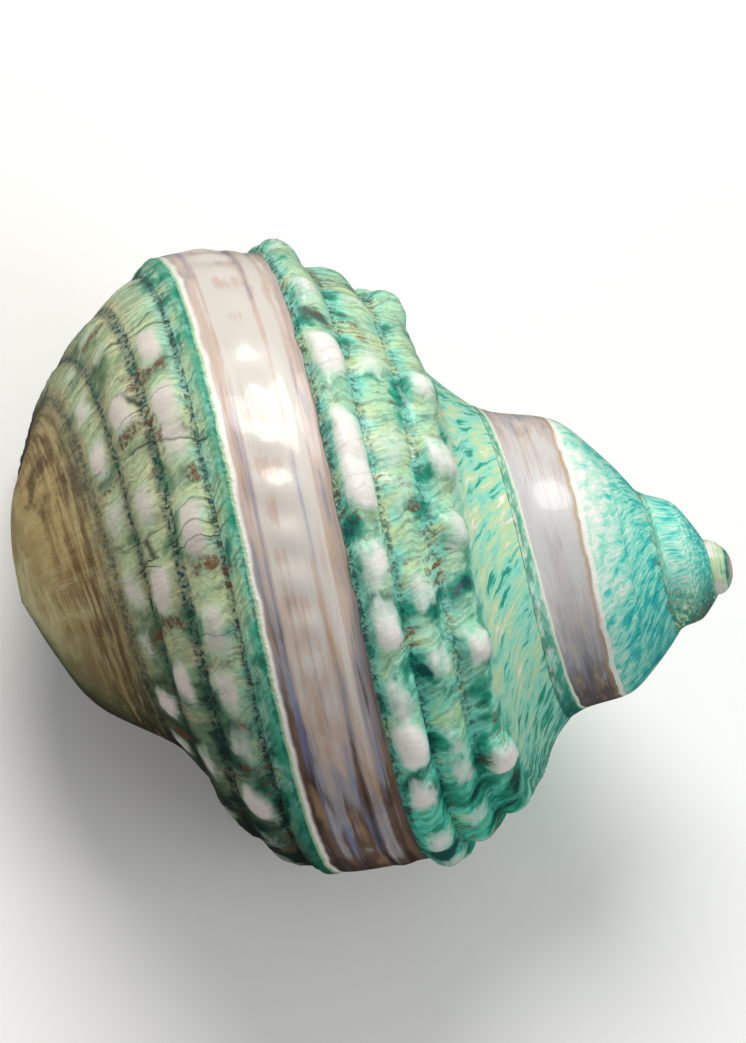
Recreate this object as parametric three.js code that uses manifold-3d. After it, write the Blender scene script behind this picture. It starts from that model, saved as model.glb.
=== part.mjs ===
// Polished turban shell with a pearl band, lying on its mouth.
// A whorl's section grows along a spiral round the axis, from the apex to the mouth. Its rows, from the
// suture over the shoulder, the cords and the pearl band to the base, each keep a growth of their own.
// The shell is one closed body, hollowed by a spiral cavity and cut flat along the lip that it lies on.
import * as THREE from 'three';
import { mergeVertices } from 'three/addons/utils/BufferGeometryUtils.js';
import Module from 'manifold-3d';

const { degToRad, clamp, smoothstep } = THREE.MathUtils;

// Driving dimensions, in millimetres
const apexLead = 1.6; // how far the spiral's own pole lies before the start of the axis
const apexRise = 0.9; // height of the worn apex over its first ring
const baseTip = 92; // where the axis leaves the base
const wall = 3.4; // thickness of the outer wall

// Angles of growth: 0 is the middle of the back, and the last whorl rises from low to high
const lowAngle = degToRad(-90);
const highAngle = degToRad(90);
const startAngle = degToRad(-990);
const endAngle = degToRad(205);
const spireAngle = degToRad(-270); // up to here the whorls have the plain section of the spire
const slowDown = degToRad(45); // stretch over which one growth gives way to the next
const stepsPerTurn = 72;

// Growth along the axis and out from it, over each half turn before the low angle and past the high one
const sutureEarly = [1.72, 1.6];
const sutureLate = [1.7, 1.63];
const baseEarly = [1.7, 1.64];

// Rows of the last whorl's section as [along the axis, out from the axis], at the low and high angles.
// spire is the row's place on the spire: its share of the way to the next suture, and its bulge as
// a share of that distance. spans is the number of faces up to the next row, and retreat how far,
// in degrees, the lip stays back there.
const suture = { low: [20.8, 17.9], high: [32.6, 23.4], early: sutureEarly, late: sutureLate, spans: 1 };
const ramp = { low: [23.1, 20.8], high: [36.5, 26.4], late: [1.6, 1.58], spire: [0.12, 0.045], spans: 1 };
const neck = { low: [24.8, 24.2], high: [40.2, 29.9], late: [1.6, 1.48], spire: [0.22, 0.075], spans: 1 };
const shoulder = { low: [26.8, 27.3], high: [43.3, 36.3], spire: [0.32, 0.1], spans: 2 };
const cord = { low: [32.2, 31.6], high: [49.5, 39.5], spire: [0.43, 0.125], spans: 2 };
const bandCord = { low: [36.3, 34.7], high: [57.1, 43.8], spire: [0.53, 0.135], spans: 1 };
const bandTop = { low: [40.7, 35.6], high: [60.6, 44.3], spire: [0.61, 0.12], spans: 2 };
const bandFoot = { low: [51.1, 36.8], high: [72, 44.2], spire: [0.87, 0.02], spans: 1 };
const baseCord = { low: [55.1, 35.7], high: [75.2, 41.4], early: baseEarly, spans: 2, retreat: 7 };
const base = { low: [61.9, 31.5], high: [80.9, 36.3], early: baseEarly, spans: 2, retreat: 20 };
const crease = { low: [68.5, 21.6], high: [86.2, 28.1], early: baseEarly, spans: 2, retreat: 40 };
// Rows of the rounded lobe at the foot of the axis, which close on themselves in a tilted ring
const lobe = { middle: [87.6, 14.3], swing: [4.7, 0.6], spans: 1, retreat: 54 };
const lobeEnd = { middle: [90.4, 7.5], swing: [2.6, 0.3], spans: 1, retreat: 54 };

const upperRows = [suture, ramp, neck, shoulder, cord, bandCord, bandTop, bandFoot];
const lowerRows = [baseCord, base, crease];
const baseRows = [...upperRows, ...lowerRows, lobe, lobeEnd];

// Rows of knobs: at is the place between the rows above, counted from the suture
const knobRows = [
  { at: 3, perTurn: 13, first: degToRad(-14), height: 2.6, reach: 0.55 },
  { at: 4, perTurn: 14, first: degToRad(-2), height: 1.3, reach: 0.45 },
  { at: 5, perTurn: 15, first: degToRad(1), height: 1.9, reach: 0.45 },
  { at: 8.5, perTurn: 17, first: degToRad(-7), height: 1.4, reach: 0.4 },
  { at: 9.5, perTurn: 17, first: degToRad(1), height: 1.1, reach: 0.4 },
];
const cordShare = 0.35; // height of the cord that carries a row of knobs, as a share of theirs
const knobWidth = 0.3; // half width of a knob, as a share of the distance between two
const knobsFrom = degToRad(-290);
const knobsFull = degToRad(-100);

// Floor that the mouth is cut along: where it faces round the axis, and its lean towards the base
const floorAngle = degToRad(200);
const floorLean = degToRad(14);
const floorDepth = 41.5; // distance from the start of the axis down to the floor
const floorBlock = 200;

// Cavity behind the mouth
const cavityFrom = degToRad(-60);
const cavityTo = degToRad(207);
const cavityStep = degToRad(6);
const cavitySides = 18;
const cavityFoot = 0.6; // how far its foot reaches from the crease to the lobe
const pillarFoot = 0.5; // the same on the whorl before
const callus = 0.7; // thickness of the nacre laid over the whorl before
const callusEdge = -0.1; // the same where it runs out at the mouth
const callusFrom = degToRad(120);

const shellLook = { color: 0x7fc4ab, roughness: 0.32, metalness: 0 };

// Growth of one measure of a row from the low angle to another one
function grown(low, high, early, late, lead, angle) {
  const turned = angle - lowAngle;
  const rate = Math.log((high + lead) / (low + lead)) / Math.PI;
  const earlyRate = early ? Math.log(early) / Math.PI : rate;
  const lateRate = late ? Math.log(late) / Math.PI : rate;
  const share = clamp(1 + turned / slowDown, 0, 1);
  const before = turned < 0 ? turned + slowDown * (0.5 - share ** 3 + share ** 4 / 2) : 0;
  const past = Math.max(angle - highAngle, 0);
  const after = past < slowDown ? past ** 2 / (2 * slowDown) : past - slowDown / 2;
  const power = rate * turned + (earlyRate - rate) * before + (lateRate - rate) * after;
  return (low + lead) * Math.exp(power) - lead;
}

// A row's point on the last whorl, as a vector of its place along the axis and out from it
function grownPoint(row, angle) {
  const along = grown(row.low[0], row.high[0], row.early?.[0], row.late?.[0], apexLead, angle);
  const out = grown(row.low[1], row.high[1], row.early?.[1], row.late?.[1], 0, angle);
  return new THREE.Vector3(along, out, 0);
}

// A row's point on the spire, between a suture and the next one
function spirePoint(row, angle) {
  const from = grownPoint(suture, angle);
  const chord = grownPoint(suture, angle + 2 * Math.PI).sub(from);
  const bulge = new THREE.Vector3(-chord.y, chord.x, 0).multiplyScalar(row.spire[1]);
  return from.addScaledVector(chord, row.spire[0]).add(bulge);
}

function rowPoint(row, angle) {
  if (row.swing) {
    const lift = Math.sin(angle);
    return new THREE.Vector3(row.middle[0] + row.swing[0] * lift, row.middle[1] + row.swing[1] * lift, 0);
  }
  if (!row.spire || angle > lowAngle) return grownPoint(row, angle);
  return spirePoint(row, angle).lerp(grownPoint(row, angle), smoothstep(angle, spireAngle, lowAngle));
}

// Height of the cords and knobs at a place of the section
function relief(at, angle) {
  const strength = smoothstep(angle, knobsFrom, knobsFull);
  let height = 0;
  for (const row of knobRows) {
    const across = Math.exp(-(((at - row.at) / row.reach) ** 2));
    const pitch = (2 * Math.PI) / row.perTurn;
    const place = (angle - row.first) / pitch;
    const off = place - Math.round(place);
    const knob = Math.exp(-((off / knobWidth) ** 2));
    height += row.height * across * (cordShare + (1 - cordShare) * knob);
  }
  return height * strength;
}

// Point of the shell from its place along the axis, out from it and round it
function place(section, angle) {
  return new THREE.Vector3(section.y * Math.cos(angle), section.y * Math.sin(angle), section.x);
}

// Angle of a place of the section: on the last whorl the base lags behind the ring, as its lip does
function retreated(at, angle) {
  const index = Math.floor(at);
  const here = baseRows[index].retreat ?? 0;
  const next = baseRows[index + 1]?.retreat ?? here;
  return angle - degToRad(here + (next - here) * (at - index));
}

// Points of a smooth section through its rows, with the relief raised along the section's normal:
// each has its place in the section and its angle
function sectionPoints(rows, ringAngle, closing) {
  const points = [];
  rows.forEach((row, index) => {
    for (let face = 0; face < row.spans; face += 1) {
      const at = index + face / row.spans;
      const angle = retreated(at, ringAngle);
      const curve = new THREE.CatmullRomCurve3([...rows.map((each) => rowPoint(each, angle)), closing]);
      const share = at / rows.length;
      const along = curve.getTangent(share);
      const height = at === 0 ? 0 : relief(at, angle);
      const normal = new THREE.Vector3(-along.y, along.x, 0);
      points.push({ section: curve.getPoint(share).addScaledVector(normal, height), angle });
    }
  });
  return points;
}

// Body of the shell before it is hollowed: every whorl ends on the suture of the next one,
// and the last one goes on over the base to the axis
function shellBody() {
  const step = (2 * Math.PI) / stepsPerTurn;
  const lastRing = Math.round((endAngle - startAngle) / step);
  const joinRing = lastRing - stepsPerTurn;
  const positions = [];
  const triangles = [];
  const addVertex = (point) => positions.push(point.x, point.y, point.z) / 3 - 1;
  const addFace = (a, b, c) => {
    if (a !== b && b !== c && c !== a) triangles.push(a, b, c);
  };

  const spansOf = (rows) => rows.reduce((sum, row) => sum + row.spans, 0);
  const upperCount = spansOf(upperRows);
  const lobeStart = upperCount + 1 + spansOf(lowerRows);
  const tipSection = new THREE.Vector3(baseTip, 0, 0);
  const tip = addVertex(place(tipSection, 0));

  // Points of each ring. On the last turn one more row lies where the next suture would run
  const ringPoints = [];
  for (let ring = 0; ring <= lastRing; ring += 1) {
    const angle = startAngle + ring * step;
    const nextSuture = { section: rowPoint(suture, angle + 2 * Math.PI), angle };
    if (ring < joinRing) {
      ringPoints.push(sectionPoints(upperRows, angle, nextSuture.section));
    } else {
      const whole = sectionPoints(baseRows, angle, tipSection);
      const [foot, below] = whole.slice(upperCount - 1);
      const between = { section: foot.section.clone().lerp(below.section, 0.5), angle };
      whole.splice(upperCount, 0, ring === joinRing ? nextSuture : between);
      ringPoints.push(whole);
    }
  }
  const vertexAt = ({ section, angle }) => addVertex(place(section, angle));
  const rings = ringPoints.map((points) => points.map(vertexAt));
  for (let ring = 0; ring < joinRing; ring += 1) {
    rings[ring].push(rings[ring + stepsPerTurn][0]);
  }
  rings[joinRing][upperCount] = rings[lastRing][0];
  for (let row = lobeStart; row < rings[lastRing].length; row += 1) {
    rings[lastRing][row] = rings[joinRing][row];
  }
  for (let ring = joinRing; ring <= lastRing; ring += 1) {
    rings[ring].push(tip);
  }

  // Faces between neighbouring rings
  for (let ring = 0; ring < lastRing; ring += 1) {
    const here = rings[ring];
    const next = rings[ring + 1];
    const rowsShared = ring < joinRing ? upperCount : next.length - 1;
    for (let row = 0; row < rowsShared; row += 1) {
      addFace(here[row], next[row], next[row + 1]);
      addFace(here[row], next[row + 1], here[row + 1]);
    }
  }

  // End of the last whorl, between its section and the whorl before it
  const endRows = (list) => [
    ...list[lastRing].slice(0, lobeStart),
    ...list[joinRing].slice(upperCount + 1, lobeStart + 1).reverse(),
  ];
  const corners = endRows(rings);
  const outline = endRows(ringPoints).map(({ section }) => new THREE.Vector2(section.x, section.y));
  for (const [a, b, c] of THREE.ShapeUtils.triangulateShape(outline, [])) {
    addFace(corners[a], corners[b], corners[c]);
  }

  // Worn apex over the first turn
  const apex = addVertex(new THREE.Vector3(0, 0, rowPoint(suture, startAngle).x - apexRise));
  for (let ring = 0; ring < stepsPerTurn; ring += 1) {
    addFace(apex, rings[ring + 1][0], rings[ring][0]);
  }
  for (let row = 0; row < upperCount; row += 1) {
    addFace(apex, rings[0][row], rings[0][row + 1]);
  }

  return { positions, triangles };
}

// Section of the cavity: the gap between a whorl and the one before it, drawn in by the wall and the callus
function cavitySection(angle) {
  const before = angle - 2 * Math.PI;
  const outside = [neck, ...upperRows.slice(3), ...lowerRows].map((row) => rowPoint(row, angle));
  const foot = rowPoint(crease, angle).lerp(rowPoint(lobe, angle), cavityFoot);
  const pillar = rowPoint(crease, before).lerp(rowPoint(lobe, before), pillarFoot);
  const inside = [pillar, rowPoint(crease, before), rowPoint(base, before)];
  const around = [...outside, foot, ...inside];
  const middle = around.reduce((sum, point) => sum.add(point), new THREE.Vector3());
  middle.divideScalar(around.length);
  const drawnIn = (point, distance) => {
    const inward = middle.clone().sub(point).normalize();
    return point.clone().addScaledVector(inward, distance);
  };
  const laid = callus + (callusEdge - callus) * smoothstep(angle, callusFrom, cavityTo);
  const corners = [...outside, foot].map((point) => drawnIn(point, wall));
  corners.push(...inside.map((point) => drawnIn(point, laid)));
  return new THREE.CatmullRomCurve3(corners, true).getPoints(cavitySides).slice(0, -1);
}

// Cavity behind the mouth, swept back into the last whorl
function cavityBody() {
  const positions = [];
  const triangles = [];
  const count = Math.round((cavityTo - cavityFrom) / cavityStep);
  for (let ring = 0; ring <= count; ring += 1) {
    const angle = cavityFrom + (ring / count) * (cavityTo - cavityFrom);
    for (const section of cavitySection(angle)) {
      const point = place(section, angle);
      positions.push(point.x, point.y, point.z);
    }
  }
  for (let ring = 0; ring < count; ring += 1) {
    for (let side = 0; side < cavitySides; side += 1) {
      const here = ring * cavitySides + side;
      const beside = ring * cavitySides + ((side + 1) % cavitySides);
      triangles.push(here, here + cavitySides, beside);
      triangles.push(beside, here + cavitySides, beside + cavitySides);
    }
  }
  const far = count * cavitySides;
  for (let side = 1; side < cavitySides - 1; side += 1) {
    triangles.push(0, side, side + 1);
    triangles.push(far, far + side + 1, far + side);
  }
  return { positions, triangles };
}

// Turn from the shell's own axes to the way it lies: the floor below, the apex towards +X
function lyingTurn() {
  const down = new THREE.Vector3(Math.cos(floorAngle), Math.sin(floorAngle), 0);
  down.multiplyScalar(Math.cos(floorLean)).setZ(Math.sin(floorLean));
  const up = down.clone().negate();
  const toApex = new THREE.Vector3(0, 0, -1).projectOnPlane(up).normalize();
  const across = new THREE.Vector3().crossVectors(up, toApex);
  const turn = new THREE.Matrix4().makeBasis(toApex, across, up).transpose();
  return new THREE.Matrix4().makeTranslation(0, 0, floorDepth).multiply(turn);
}

function lyingGeometry({ positions, triangles }) {
  const geometry = new THREE.BufferGeometry();
  geometry.setAttribute('position', new THREE.Float32BufferAttribute(positions, 3));
  geometry.setIndex(triangles);
  return geometry.applyMatrix4(lyingTurn());
}

// Block under the floor, which takes off the lip below it
function floorGeometry() {
  const block = new THREE.BoxGeometry(floorBlock, floorBlock, floorBlock);
  block.translate(0, 0, -floorBlock / 2);
  block.deleteAttribute('normal');
  block.deleteAttribute('uv');
  return mergeVertices(block);
}

const wasm = await Module();
wasm.setup();

function solidOf(geometry) {
  const vertProperties = new Float32Array(geometry.attributes.position.array);
  const triVerts = new Uint32Array(geometry.index.array);
  return new wasm.Manifold(new wasm.Mesh({ numProp: 3, vertProperties, triVerts }));
}

function geometryOf(solid) {
  const { vertProperties, triVerts } = solid.getMesh();
  const geometry = new THREE.BufferGeometry();
  geometry.setAttribute('position', new THREE.BufferAttribute(vertProperties, 3));
  geometry.setIndex(new THREE.BufferAttribute(triVerts, 1));
  return geometry;
}

function makeShell() {
  const hollowed = solidOf(lyingGeometry(shellBody())).subtract(solidOf(lyingGeometry(cavityBody())));
  const geometry = geometryOf(hollowed.subtract(solidOf(floorGeometry())));
  geometry.computeBoundingBox();
  const middle = geometry.boundingBox.getCenter(new THREE.Vector3());
  geometry.translate(-middle.x, -middle.y, 0);
  geometry.computeVertexNormals();
  const mesh = new THREE.Mesh(geometry, new THREE.MeshStandardMaterial(shellLook));
  mesh.name = 'shell';
  return mesh;
}

const turbanShell = new THREE.Group();
turbanShell.add(makeShell());

export default turbanShell;
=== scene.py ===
import math
from collections import namedtuple
from functools import reduce

import bpy
import numpy as np
from bpy.props import FloatProperty, FloatVectorProperty, PointerProperty
from bpy.types import Operator, Panel, PropertyGroup
from mathutils import Matrix, Vector
from mathutils.geometry import tessellate_polygon


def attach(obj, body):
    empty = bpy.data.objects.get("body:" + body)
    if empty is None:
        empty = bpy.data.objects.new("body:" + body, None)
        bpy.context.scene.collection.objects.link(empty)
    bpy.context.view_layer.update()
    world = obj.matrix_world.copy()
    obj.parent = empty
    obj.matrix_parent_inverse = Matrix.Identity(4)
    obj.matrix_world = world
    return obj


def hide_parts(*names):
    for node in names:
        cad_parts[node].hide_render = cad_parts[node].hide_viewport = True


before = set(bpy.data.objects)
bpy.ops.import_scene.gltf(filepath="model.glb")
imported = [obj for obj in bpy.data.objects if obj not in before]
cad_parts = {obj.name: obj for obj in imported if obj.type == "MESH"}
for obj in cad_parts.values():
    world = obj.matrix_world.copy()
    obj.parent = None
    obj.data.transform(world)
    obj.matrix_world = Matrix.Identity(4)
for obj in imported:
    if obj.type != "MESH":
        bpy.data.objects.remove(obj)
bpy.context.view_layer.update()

bl_info = {
    "name": "Turban Shell",
    "version": (1, 0, 0),
    "blender": (4, 5, 0),
    "location": "View3D > Sidebar > Shell",
    "description": "Builds a polished turban shell with a pearl band, lying on a pale floor",
    "category": "Add Mesh",
}

MM = 0.001
TURN = 2 * math.pi

# Spiral of the shell, in millimetres and radians: 0 is the middle of the back
APEX_LEAD = 1.6
APEX_RISE = 0.9
BASE_TIP = 92.0
LOW_ANGLE = math.radians(-90)
HIGH_ANGLE = math.radians(90)
START_ANGLE = math.radians(-990)
END_ANGLE = math.radians(205)
SPIRE_ANGLE = math.radians(-270)
SLOW_DOWN = math.radians(45)
RINGS_PER_TURN = 360
DOME_RINGS = 7

# Rows of a whorl's section as (along the axis, out from it), from the suture to the foot of the axis
Row = namedtuple("Row", "low high early late spire faces retreat middle swing", defaults=(None,) * 9)
BASE_EARLY = (1.7, 1.64)
SUTURE = Row((20.8, 17.9), (32.6, 23.4), (1.72, 1.6), (1.7, 1.63), faces=4)
RAMP = Row((23.1, 20.8), (36.5, 26.4), None, (1.6, 1.58), (0.12, 0.045), 4)
NECK = Row((24.8, 24.2), (40.2, 29.9), None, (1.6, 1.48), (0.22, 0.075), 5)
SHOULDER = Row((26.8, 27.3), (43.3, 36.3), spire=(0.32, 0.1), faces=9)
CORD = Row((32.2, 31.6), (49.5, 39.5), spire=(0.43, 0.125), faces=9)
BAND_CORD = Row((36.3, 34.7), (57.1, 43.8), spire=(0.53, 0.135), faces=8)
BAND_TOP = Row((40.7, 35.6), (60.6, 44.3), spire=(0.61, 0.12), faces=12)
BAND_FOOT = Row((51.1, 36.8), (72.0, 44.2), spire=(0.87, 0.02), faces=7)
BASE_CORD = Row((55.1, 35.7), (75.2, 41.4), BASE_EARLY, faces=8, retreat=7)
BASE = Row((61.9, 31.5), (80.9, 36.3), BASE_EARLY, faces=8, retreat=20)
CREASE = Row((68.5, 21.6), (86.2, 28.1), BASE_EARLY, faces=8, retreat=40)
LOBE = Row(middle=(87.6, 14.3), swing=(4.7, 0.6), faces=5, retreat=54)
LOBE_END = Row(middle=(90.4, 7.5), swing=(2.6, 0.3), faces=4, retreat=54)
UPPER_ROWS = [SUTURE, RAMP, NECK, SHOULDER, CORD, BAND_CORD, BAND_TOP, BAND_FOOT]
LOWER_ROWS = [BASE_CORD, BASE, CREASE]
ALL_ROWS = [*UPPER_ROWS, *LOWER_ROWS, LOBE, LOBE_END]

# Cords and their knobs, in rows, millimetres and degrees, with the angles of the knobs on the back
SHOULDER_KNOBS = 3.1
KNOB_LIFT = 1.0
KNOB_LIFT_REACH = 0.5
KnobRow = namedtuple("KnobRow", "at pitch knob_height cord_height reach half_length pale patch angles")
KNOB_ROWS = (
    KnobRow(2.3, 60, 0.0, 0.4, 0.3, 5.0, 0.0, 1.0, (0,)),
    KnobRow(SHOULDER_KNOBS, 27, 2.3, 0.9, 0.5, 5.4, 0.9, 0.85, (-79.5, -44.5, -13.5, 12.5, 28, 46, 80.5)),
    KnobRow(4.07, 22, 0.7, 1.2, 0.45, 4.8, 0.55, 0.9, (-84, -62, -43, -34, -16, -1, 19, 27.5, 48, 68, 89.5)),
    KnobRow(5.1, 20, 1.3, 1.3, 0.54, 5.2, 0.95, 1.0,
            (-79, -62.5, -44, -31.5, -20.5, -6.5, 5, 19.5, 28, 45, 63, 89.5)),
    KnobRow(7.5, 24, 0.15, 0.4, 0.36, 4.0, 0.3, 1.0, (-60, -34, -10, 14, 40, 66, 90)),
    KnobRow(8.36, 18, 0.6, 0.7, 0.41, 4.8, 0.96, 1.15,
            (-64, -47.5, -31.5, -20, -6.5, 13.5, 31, 40.5, 56, 72, 90)),
    KnobRow(9.22, 20, 0.5, 0.6, 0.36, 4.8, 0.98, 1.15, (-64, -42, -20.5, 1.5, 21, 45.5, 67, 88)),
    KnobRow(9.88, 20, 0.4, 0.45, 0.26, 4.8, 0.98, 1.15, (-52, -33, -13.5, 2.5, 22.5, 40.5, 60.5, 82)),
)
KNOBS_FROM = math.radians(-290)
KNOBS_FULL = math.radians(-100)

# Angles in degrees where the usual knobs end, and between which the seen ones and the base cords grow low
KNOBS_END = (-300, 230)
LOW_KNOBS = (45, 75)
DULL_KNOBS = (50, 75)
BASE_FADE = (45, 80)

# Unevenness of the usual knobs: share of their distance, and rates at which their place and size change
UNEVEN = 0.16
UNEVEN_RATE = 7.1
UNEVEN_SIZE_RATE = 3.7

# Painted shade beside a knob, which on the base also places rust, in half lengths of the knob: how far to its
# early side, and its reach
PATCH_OFFSET = 1.5
PATCH_REACH = 0.75
PATCH_RATE = 5.3

# Slant of the growth lines in degrees to a row: all over, added on the ramp, and how the base twists it
SLANT = 4.0
RAMP_SLANT = 5.0
RAMP_END = 3.0
BASE_PLACE = 7.0
BASE_TWIST = 0.09

# Growth wrinkles: share of the height, rate, sway and drift of each set
WRINKLES = ((1.0, 0.47, 1.5, 0.071), (0.6, 0.81, 1.0, 0.113))

# Edges of the ground band in rows: start, crest and end of the step on each side, and where wrinkles stop
STEP_ABOVE = (5.4, 5.62, 5.76)
STEP_BELOW = (6.97, 7.1, 7.6)
SMOOTH_FROM = (5.65, 5.8)
SMOOTH_TO = (6.95, 7.1)

# Lumps along the band: row, reach, the rates at which they follow each other, and degrees where they begin
LUMP_PLACE = 6.52
LUMP_REACH = 0.16
LUMP_RATE = 0.66
LUMP_SWAY = 2.2
LUMP_DRIFT = 0.061
LUMPS_FADE = (-30, 15)

# Trace of a cord beside the lumps: row and reach
TRACE_PLACE = 6.22
TRACE_REACH = 0.08

# Stripes along the pearl band: how much darker, from which row and to which
BAND_STRIPES = (
    (0.28, 6.76, 7.0),
    (-0.12, 6.34, 6.76),
    (0.3, 6.27, 6.33),
    (-0.25, 6.12, 6.26),
    (0.2, 5.6, 6.1),
)

# Places along the spiral in turns: where the spire's looks end, the side to the light for painted light and
# shade, and the brightest place of the painted highlight on the spire's band
SPIRE_END = (-0.5, -0.4)
SUNNY_TURN = 0.12
SPIRE_PAINTED_HIGHLIGHT = -0.98

# The way the shell lies: the floor's direction and lean, its depth, and the middle of the lying shell
FLOOR_ANGLE = math.radians(200)
FLOOR_LEAN = math.radians(14)
FLOOR_DEPTH = 41.5
LYING_MIDDLE = (-45.3665, 4.5007)
FLOOR_BLOCK = 0.2
SHARP_ANGLE = math.radians(50)

# Where the last turn comes free of the whorl before it
FREE_ANGLE = math.radians(60)

# Hollow behind the mouth
CAVITY_FROM = math.radians(-60)
CAVITY_TO = math.radians(207)
CAVITY_RINGS = 120
CAVITY_SIDES = 72
CAVITY_FOOT = 0.6
PILLAR_FOOT = 0.5
CALLUS = 0.7
CALLUS_EDGE = -0.1
CALLUS_FROM = math.radians(120)

# Names of the surface maps: angle in turns and row; knob and shade; cord and growth line in turns
SPIRAL_MAP = "spiral"
KNOB_MAP = "knobs"
CORD_MAP = "cords"

# Kinds of sockets of the node groups
VALUE_SOCKET = "NodeSocketFloat"
COLOUR_SOCKET = "NodeSocketColor"

# Picture: rows of pixels, millimetres to a pixel, lean of the shell, and the middle on the shell's own axes
PICTURE_ROWS = 1043
PIXEL = 0.13
VIEW_TILT = math.radians(2.4)
VIEW_MIDDLE = (6.0, 8.6, 45.7)
SENSOR_WIDTH = 36.0
CLIP_END = 20.0
FLOOR_HALF = 1.5

# Soft lights: the way to each as shares of right, up and back in the picture, then distance, size and tone
SoftLight = namedtuple("SoftLight", "right up back distance size tone")
KEY_LIGHT = SoftLight(0.05, 0.87, 0.5, 1.1, 0.7, (1.0, 0.98, 0.95))
FILL_LIGHT = SoftLight(0.8, -0.2, 0.6, 0.7, 0.5, (0.96, 0.98, 1.0))

# Room light: shares of up and back for its bright side, and where it turns from dark to bright
ROOM_UP = 0.9
ROOM_BACK = 0.45
ROOM_STOPS = ((-0.6, (0.06,) * 3), (0.8, (1.0,) * 3))


def tint(code):
    """Linear colour from a code such as #8fd6b4."""
    shares = [int(code[i:i + 2], 16) / 255 for i in (1, 3, 5)]
    return tuple(c / 12.92 if c <= 0.04045 else ((c + 0.055) / 1.055) ** 2.4 for c in shares)


def colour(name, description, code):
    return FloatVectorProperty(name=name, description=description, subtype="COLOR", size=3, min=0, max=1,
                               default=tint(code))


def length(name, description, millimetres):
    return FloatProperty(name=name, description=description, default=millimetres * MM, min=0,
                         subtype="DISTANCE", unit="LENGTH", precision=5)


def amount(name, description, default, least=0, **kind):
    return FloatProperty(name=name, description=description, default=default, min=least, **kind)


# Sizes and colours that a user would change


class ShellSizes(PropertyGroup):
    wall: length("Wall", "Thickness of the outer wall", 3.4)
    knob_scale: amount("Knobs", "Height of the knobs and cords, 1 for the usual one", 1.0, max=2,
                       subtype="FACTOR")
    band_step: length("Band step", "How far the pearl band is ground below the green layer", 0.35)
    band_cords: length("Band cords", "Height of the cords that are left in the pearl band", 0.5)
    wrinkles: length("Wrinkles", "Height of the growth wrinkles", 0.2)


class ShellColours(PropertyGroup):
    # Deep green is painted shade beside the knobs, in the grooves and on the shaded side, and also the own
    # colour of dark grains and strokes
    deep: colour("Deep green", "Dark patches beside the knobs", "#0a4f4e")
    teal: colour("Teal", "Blue-green of the spire and the ramp", "#0a9ca8")
    aqua: colour("Aqua", "Mid tone of the spire and the ramp", "#33c6bb")
    jade: colour("Jade", "Main green of the knobbed part", "#25a584")
    mint: colour("Mint", "Pale green between the streaks", "#93e6cf")
    foam: colour("Foam", "Palest green of the spire and the ramp", "#d3f1e2")
    lime: colour("Yellow green", "Halo of the knobs", "#cbe6b2")
    cream: colour("Cream", "Worn tops of the knobs", "#fdf7f0")
    moss: colour("Moss", "Dark green of the base", "#2b4630")
    sage: colour("Sage", "Mid green of the base", "#7ba06f")
    straw: colour("Straw", "Pale streaks of the base", "#dcd5a2")
    # Dusk and Shadow tint the painted shade over the side away from the light
    shade_tint: colour("Dusk", "Tint of the growth on the low side", "#72fcf6")
    shadow: colour("Shadow", "Tint of the darker base and lobe on the low side", "#3b5c50")
    rust: colour("Rust", "Brown flecks between the knobs", "#7a3f1c")
    crack: colour("Crack", "Fine dark growth lines", "#232c20")
    umber: colour("Umber", "Dark lines in the crease beside the lobe", "#4a3720")
    olive: colour("Olive", "Shaded parts of the lobe", "#6f5c36")
    khaki: colour("Khaki", "Lobe at the foot of the axis", "#b59f68")
    lilac: colour("Lilac", "Worn tops of the knobs on the base", "#e2d6cc")
    pearl: colour("Pearl", "Whitest nacre", "#dcd6cd")
    blush: colour("Blush", "Pink cream nacre", "#d3beb0")
    lavender: colour("Lavender", "Grey nacre", "#a5a2a8")
    silver: colour("Silver", "Nacre of the spire", "#c3c6cd")
    taupe: colour("Taupe", "Brown nacre", "#7a6253")
    bistre: colour("Bistre", "Darkest nacre", "#4b3c35")
    amber: colour("Amber", "Warm patches in the nacre", "#bd9768")
    sky: colour("Sky", "Blue streaks in the nacre", "#7f93c0")


class StageSettings(PropertyGroup):
    floor: colour("Floor", "Colour of the floor", "#f2f1ee")
    glow: amount("Floor glow", "Light from the floor itself, which keeps its shadow soft", 0.12, max=1,
                 subtype="FACTOR")
    key: amount("Key light", "Power of the soft light from the top of the picture", 9.5, unit="POWER")
    fill: amount("Fill light", "Power of the soft light from the right", 1.2, unit="POWER")
    sky: amount("Room light", "Strength of the even light all round", 0.42, max=2, subtype="FACTOR")
    lens: amount("Lens", "Focal length of the camera", 320.0, least=1, unit="CAMERA")


# Shape of the shell


def ease(value, low, high):
    share = np.clip((value - low) / (high - low), 0, 1)
    return share * share * (3 - 2 * share)


def bell(value):
    return np.exp(-value ** 2)


def grown(low, high, early, late, lead, angle):
    """One measure of a row, grown from the low angle to others."""
    turned = angle - LOW_ANGLE
    rate = math.log((high + lead) / (low + lead)) / math.pi
    early_rate = math.log(early) / math.pi if early else rate
    late_rate = math.log(late) / math.pi if late else rate
    share = np.clip(1 + turned / SLOW_DOWN, 0, 1)
    before = np.where(turned < 0, turned + SLOW_DOWN * (0.5 - share ** 3 + share ** 4 / 2), 0)
    past = np.maximum(angle - HIGH_ANGLE, 0)
    after = np.where(past < SLOW_DOWN, past ** 2 / (2 * SLOW_DOWN), past - SLOW_DOWN / 2)
    power = rate * turned + (early_rate - rate) * before + (late_rate - rate) * after
    return (low + lead) * np.exp(power) - lead


def grown_point(row, angle):
    early = row.early or (None, None)
    late = row.late or (None, None)
    leads = (APEX_LEAD, 0)
    return np.stack([grown(row.low[i], row.high[i], early[i], late[i], leads[i], angle) for i in (0, 1)], -1)


def spire_point(row, angle):
    start = grown_point(SUTURE, angle)
    chord = grown_point(SUTURE, angle + TURN) - start
    bulge = np.stack([-chord[:, 1], chord[:, 0]], -1)
    return start + chord * row.spire[0] + bulge * row.spire[1]


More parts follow.
